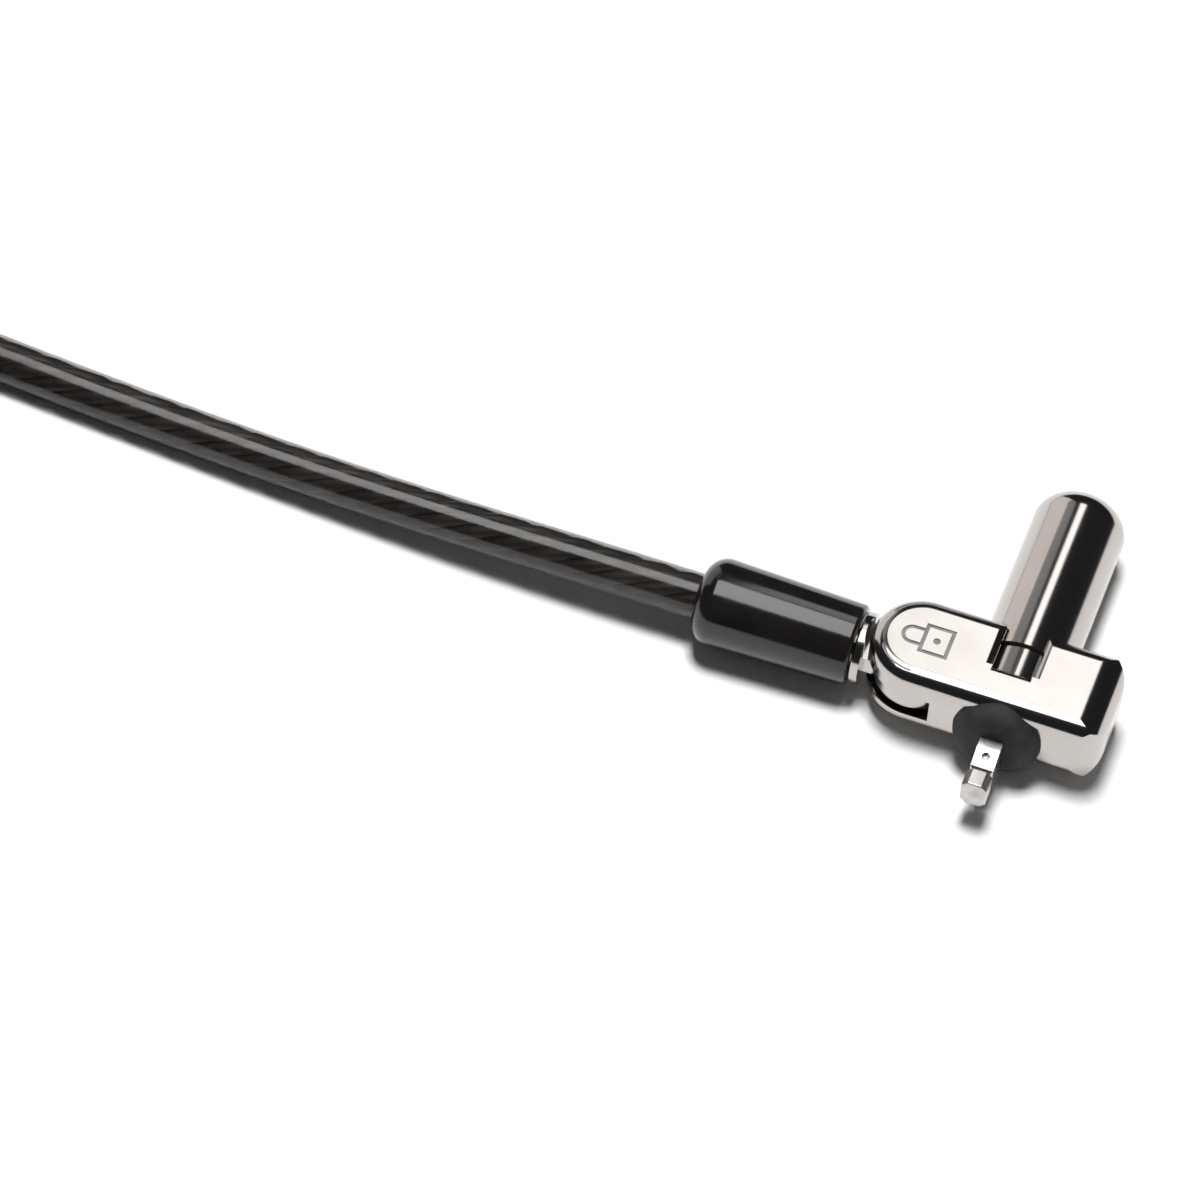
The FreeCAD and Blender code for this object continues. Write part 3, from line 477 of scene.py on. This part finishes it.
def refined(node, material, edge_mm=0.0):
    """A copy of a frame part that stands for it, with its edges rounded if a radius is given."""
    source = frame["nodes"][node]
    mesh = source.data.copy()
    mesh.name = node + "_finished"
    if edge_mm:
        bm = bmesh.new()
        bm.from_mesh(mesh)
        bmesh.ops.remove_doubles(bm, verts=bm.verts, dist=WELD)
        bmesh.ops.dissolve_limit(bm, angle_limit=FLAT, verts=bm.verts, edges=bm.edges)
        for face in bm.faces:
            face.smooth = True
        for edge in bm.edges:
            edge.smooth = len(edge.link_faces) == 2 and edge.calc_face_angle(0) < CREASE
        bm.to_mesh(mesh)
        bm.free()
    mesh.materials.clear()
    mesh.materials.append(material)
    piece = bpy.data.objects.new(node + "_finished", mesh)
    bpy.context.scene.collection.objects.link(piece)
    if edge_mm:
        bevel = piece.modifiers.new("small edge radius", "BEVEL")
        bevel.width = edge_mm * MM
        bevel.segments = EDGE_SEGMENTS
        bevel.limit_method = "ANGLE"
        bevel.angle_limit = CREASE
        bevel.use_clamp_overlap = True
        weighted = piece.modifiers.new("flat faces stay flat", "WEIGHTED_NORMAL")
        weighted.keep_sharp = True
        weighted.weight = 80
    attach(piece, source["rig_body"])
    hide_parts(node)
    return piece


# %% [markdown]
# ## Turned parts
#
# The barrel's shell and the sleeve are round about an axis, so they are turned like on a
# lathe: an outline of a few points is spun round. An arc in the outline is a short loop.
# Spinning gives even quads all round, so the long mirror-like reflections on the barrel stay
# perfectly straight.

# %% Lathe
LATHE_STEPS = 128
LATHE_WELD = 0.001 * MM


def rounded(centre_along, centre_r, radius, start_deg, end_deg, steps=12):
    """Points of an arc in a lathe outline, as (along the axis, distance from it)."""
    points = []
    for i in range(steps + 1):
        angle = math.radians(start_deg + (end_deg - start_deg) * i / steps)
        points.append((centre_along + radius * math.sin(angle), centre_r + radius * math.cos(angle)))
    return points


def lathe(name, outline, origin, axis, material, body):
    """Spin a closed outline round an axis. Its points are (along, radius), in millimetres."""
    bm = bmesh.new()
    side = Vector((0, 0, 1))
    loop = [bm.verts.new(origin + (axis * along + side * radius) * MM) for along, radius in outline]
    edges = [bm.edges.new((a, b)) for a, b in zip(loop, loop[1:] + loop[:1])]
    bmesh.ops.spin(bm, geom=loop + edges, cent=origin, axis=axis, angle=2 * math.pi,
                   steps=LATHE_STEPS, use_merge=True, use_duplicate=False)
    bmesh.ops.remove_doubles(bm, verts=bm.verts, dist=LATHE_WELD)
    bmesh.ops.recalc_face_normals(bm, faces=bm.faces)
    for face in bm.faces:
        face.smooth = True
    for edge in bm.edges:
        edge.smooth = edge.calc_face_angle(0) < CREASE
    mesh = bpy.data.meshes.new(name)
    bm.to_mesh(mesh)
    bm.free()
    mesh.materials.append(material)
    piece = bpy.data.objects.new(name, mesh)
    bpy.context.scene.collection.objects.link(piece)
    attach(piece, body)
    print(name, "faces:", len(mesh.polygons))
    return piece


# %% [markdown]
# ## Barrel shell
#
# A drawn tube with a full, soft shoulder and a hole for the key. Its foot stands on a step of
# the barrel's body, inside the head. The foot's edge is broken by a very small radius.

# %% Turn the barrel shell
shell_low, shell_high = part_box("barrel_shell")
BARREL_X = (shell_low.x + shell_high.x) / 2
SHELL_R = (shell_high.x - shell_low.x) / 2 / MM
SHELL_FOOT = shell_low.y / MM
SHOULDER_R = 3.4
SHOULDER_TIP = 27.1              # where the shoulder's arc would meet the end, were there no hole
TUBE_R = 4.52                    # inside of the shell
FOOT_EDGE = 0.1
MOUTH_R = 2.55                   # hole for the key
MOUTH_LIP = 0.18                 # how far the hole's edge is broken
LIP_STEPS = (0.03, 0.16)         # depths of the two breaks in the lip, and
LIP_RISE = 0.06                  # how far the first one stands out from the hole
END_WALL = 25.55                 # inside of the end
END_BEND_R = 3.3
END_BEND = 24.35
shoulder_y = SHOULDER_TIP - SHOULDER_R
mouth_deg = math.degrees(math.acos((MOUTH_R + MOUTH_LIP - SHELL_R + SHOULDER_R) / SHOULDER_R))
shoulder = rounded(shoulder_y, SHELL_R - SHOULDER_R, SHOULDER_R, 0, mouth_deg, steps=24)
lip_y = shoulder[-1][0]
shell_outline = [(SHELL_FOOT, TUBE_R), (SHELL_FOOT, SHELL_R - FOOT_EDGE), (SHELL_FOOT + FOOT_EDGE, SHELL_R)]
shell_outline += shoulder
shell_outline += [(lip_y - LIP_STEPS[0], MOUTH_R + LIP_RISE), (lip_y - LIP_STEPS[1], MOUTH_R),
                  (END_WALL, MOUTH_R), (END_WALL, END_BEND_R), (END_BEND, TUBE_R)]
shell = lathe("bright_barrel_shell", shell_outline, Vector((BARREL_X, 0, HINGE.z)), Vector((0, 1, 0)),
              nickel, "head")
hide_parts("barrel_shell")

# %% [markdown]
# ## Strain sleeve
#
# The sleeve is moulded in gloss black over the cable's steel socket. It swells a little
# towards the cable and closes round it with a full shoulder.

# %% Turn the sleeve
SLEEVE_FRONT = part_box("strain_sleeve")[1].x / MM
FRONT_R = 4.65
FRONT_EDGE_R = 0.5
BACK_R = 5.05
SLEEVE_BACK = -25.7
SLEEVE_SHOULDER = 2.5
EXIT_R = 2.65                    # hole for the cable
SOCKET_R = 3.85                  # hollow for the cable's steel socket
SOCKET_BACK = -22.1
exit_deg = math.degrees(math.acos((EXIT_R - BACK_R + SLEEVE_SHOULDER) / SLEEVE_SHOULDER))
sleeve_outline = [(SLEEVE_FRONT, SOCKET_R)]
sleeve_outline += rounded(SLEEVE_FRONT - FRONT_EDGE_R, FRONT_R - FRONT_EDGE_R, FRONT_EDGE_R, 90, 0, steps=6)
sleeve_outline += rounded(SLEEVE_BACK + SLEEVE_SHOULDER, BACK_R - SLEEVE_SHOULDER, SLEEVE_SHOULDER,
                          0, -exit_deg, steps=16)
sleeve_outline += [(SOCKET_BACK, EXIT_R), (SOCKET_BACK, SOCKET_R)]
sleeve = lathe("moulded_sleeve", sleeve_outline, Vector((0, 0, HINGE.z)), Vector((1, 0, 0)),
               gloss_black, "cable")
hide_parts("strain_sleeve")

# %% [markdown]
# ## The head and the small steel parts
#
# The head is a casting with machined cuts: the slot for the tongue, the barrel's bore and the
# window. The padlock sign is cut into its top and filled with grey paint, so the faces at the
# bottom of the cut get the paint's finish: they face up, and lie just under the top.

# %% Finish the head
head = refined("head_housing", nickel)
head.data.materials.append(mark_paint)
head_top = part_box("head_housing")[1].z
SIGN_SHALLOW = 0.1 * MM
SIGN_DEEP = 0.2 * MM
SIGN_REACH = 4 * MM              # the sign keeps this close to the hinge
painted = 0
for face in head.data.polygons:
    sunk = head_top - face.center.z
    if face.normal.z > 0.9 and SIGN_SHALLOW < sunk < SIGN_DEEP and abs(face.center.x) < SIGN_REACH:
        face.material_index = 1
        painted += 1
print("painted faces in the sign:", painted)

# %% [markdown]
# The other parts need only their finish, and the sharp-edged steel ones their edge radius.

# %% Finish the moving and inner parts
knuckle = refined("hinge_knuckle", nickel)
barrel_core = refined("barrel_body", nickel)
nose = refined("nose_guide", satin, edge_mm=0.08)
t_bar = refined("drive_spindle", satin, edge_mm=0.08)
bumper = refined("rubber_bumper", rubber)
pin = refined("pivot_pin", turned_steel, edge_mm=0.1)
plug = refined("key_plug", brass, edge_mm=0.04)
crimp = refined("loop_crimp", satin, edge_mm=0.3)

# %% [markdown]
# Washers, clips, pins, springs and straps are small or hidden. The frame's own shapes are good
# enough for them, so they keep them and only take on a material.

# %% Dress the parts that stay as they are
KEPT = {
    turned_steel: ["pivot_washer_lower", "pivot_washer_upper", "swivel_clip", "swivel_washer",
                   "cable_ferrule", "barrel_lock_pin", "driver_pins", "pin_springs", "core_clip",
                   "nose_pin"],
    brass: ["key_pins", "swivel_bush"],
    nylon: ["coil_tie_1", "coil_tie_2", "coil_tie_3"],
}
for material, names in KEPT.items():
    for name in names:
        node = frame["nodes"][name]
        node.data.materials.clear()
        node.data.materials.append(material)
print("dressed parts:", sum(len(names) for names in KEPT.values()))

# %% [markdown]
# ## Floor and studio light
#
# Bright metal has no colour of its own: it shows the room. So the room is made of a few large
# shapes. A white floor fills the lower half of every part. A bright soft box overhead draws
# the streak along the sleeve and the cable, and a strip behind it draws the one along the
# barrel and whitens the head's top. A warm panel stands at the left, with a dim one above it.
# The rest of the room is dark, which gives the metal its black bands. These four are only seen
# in the shiny surfaces and light nothing. One more lamp, nearly overhead, does the opposite: it
# lights everything and throws the soft shadow, and leaves no mark in the metal.

# %% Floor
FLOOR_HALF = 3.0
floor_bm = bmesh.new()
bmesh.ops.create_grid(floor_bm, x_segments=1, y_segments=1, size=FLOOR_HALF)
floor_mesh = bpy.data.meshes.new("floor")
floor_bm.to_mesh(floor_mesh)
floor_bm.free()
floor = bpy.data.objects.new("floor", floor_mesh)
bpy.context.scene.collection.objects.link(floor)
floor_material = bpy.data.materials.new("white_floor")
floor_material.use_nodes = True
floor_shader = floor_material.node_tree.nodes["Principled BSDF"]
floor_shader.inputs["Base Color"].default_value = (0.93, 0.93, 0.93, 1)
floor_shader.inputs["Roughness"].default_value = 0.9
floor_shader.inputs["Specular IOR Level"].default_value = 0.0
floor.data.materials.append(floor_material)
print("floor, metres across:", 2 * FLOOR_HALF)

# %% [markdown]
# A lamp's power spreads over its area, so a small lamp of the same power is brighter. What
# counts in a reflection is the brightness of each bit of it. The lamps are therefore given by
# that, and their power is worked out.

# %% Lights


def soft_box(name, place, aim, size, radiance, colour=(1, 1, 1), reflected=True, lights=True):
    """A rectangular lamp of a given brightness per area, turned towards a point.

    A lamp can be one that is only reflected, or one that only lights.
    """
    data = bpy.data.lights.new(name, "AREA")
    data.shape = "RECTANGLE"
    data.size, data.size_y = size
    data.energy = radiance * math.pi * size[0] * size[1]
    data.color = colour
    lamp = bpy.data.objects.new(name, data)
    lamp.location = place
    lamp.rotation_euler = (Vector(aim) - Vector(place)).to_track_quat("-Z", "Y").to_euler()
    lamp.visible_glossy = reflected
    lamp.visible_diffuse = lights
    lamp.visible_transmission = reflected
    bpy.context.scene.collection.objects.link(lamp)
    return lamp


WARM = (1.0, 0.95, 0.91)
OBJECT = (0, 0, 0.02)
soft_box("overhead_box", (-0.15, 0.03, 0.8), (-0.15, 0.031, 0), (0.50, 0.58), 4.6, lights=False)
soft_box("back_strip", (-0.05, 0.56, 0.8), (-0.05, 0.561, 0), (0.21, 0.38), 2.0, lights=False)
soft_box("left_panel", (-0.80, 0.58, 0.33), OBJECT, (0.80, 0.66), 0.95, WARM, lights=False)
soft_box("left_dim_panel", (-0.47, 0.58, 0.70), OBJECT, (0.34, 0.34), 0.30, lights=False)
soft_box("shadow_lamp", (-0.07, 0.12, 0.90), (0, 0, 0), (0.24, 0.24), 52.0, reflected=False)

# %% [markdown]
# The room itself has two faces. Shiny surfaces see it almost black, and everything else gets a
# weak, even light from it, which keeps the shadow's core from going fully black.

# %% Dark room with an even fill
world = bpy.data.worlds.new("studio")
bpy.context.scene.world = world
world.use_nodes = True
room = world.node_tree
room.nodes.clear()
fill = room.nodes.new("ShaderNodeBackground")
fill.inputs["Color"].default_value = (1, 1, 1, 1)
fill.inputs["Strength"].default_value = 0.08
dark = room.nodes.new("ShaderNodeBackground")
dark.inputs["Color"].default_value = (0.02, 0.021, 0.024, 1)
pick = room.nodes.new("ShaderNodeLightPath")
mix = room.nodes.new("ShaderNodeMixShader")
sky = room.nodes.new("ShaderNodeOutputWorld")
room.links.new(pick.outputs["Is Glossy Ray"], mix.inputs["Fac"])
room.links.new(fill.outputs["Background"], mix.inputs[1])
room.links.new(dark.outputs["Background"], mix.inputs[2])
room.links.new(mix.outputs["Shader"], sky.inputs["Surface"])
bpy.context.scene.view_settings.view_transform = "Standard"
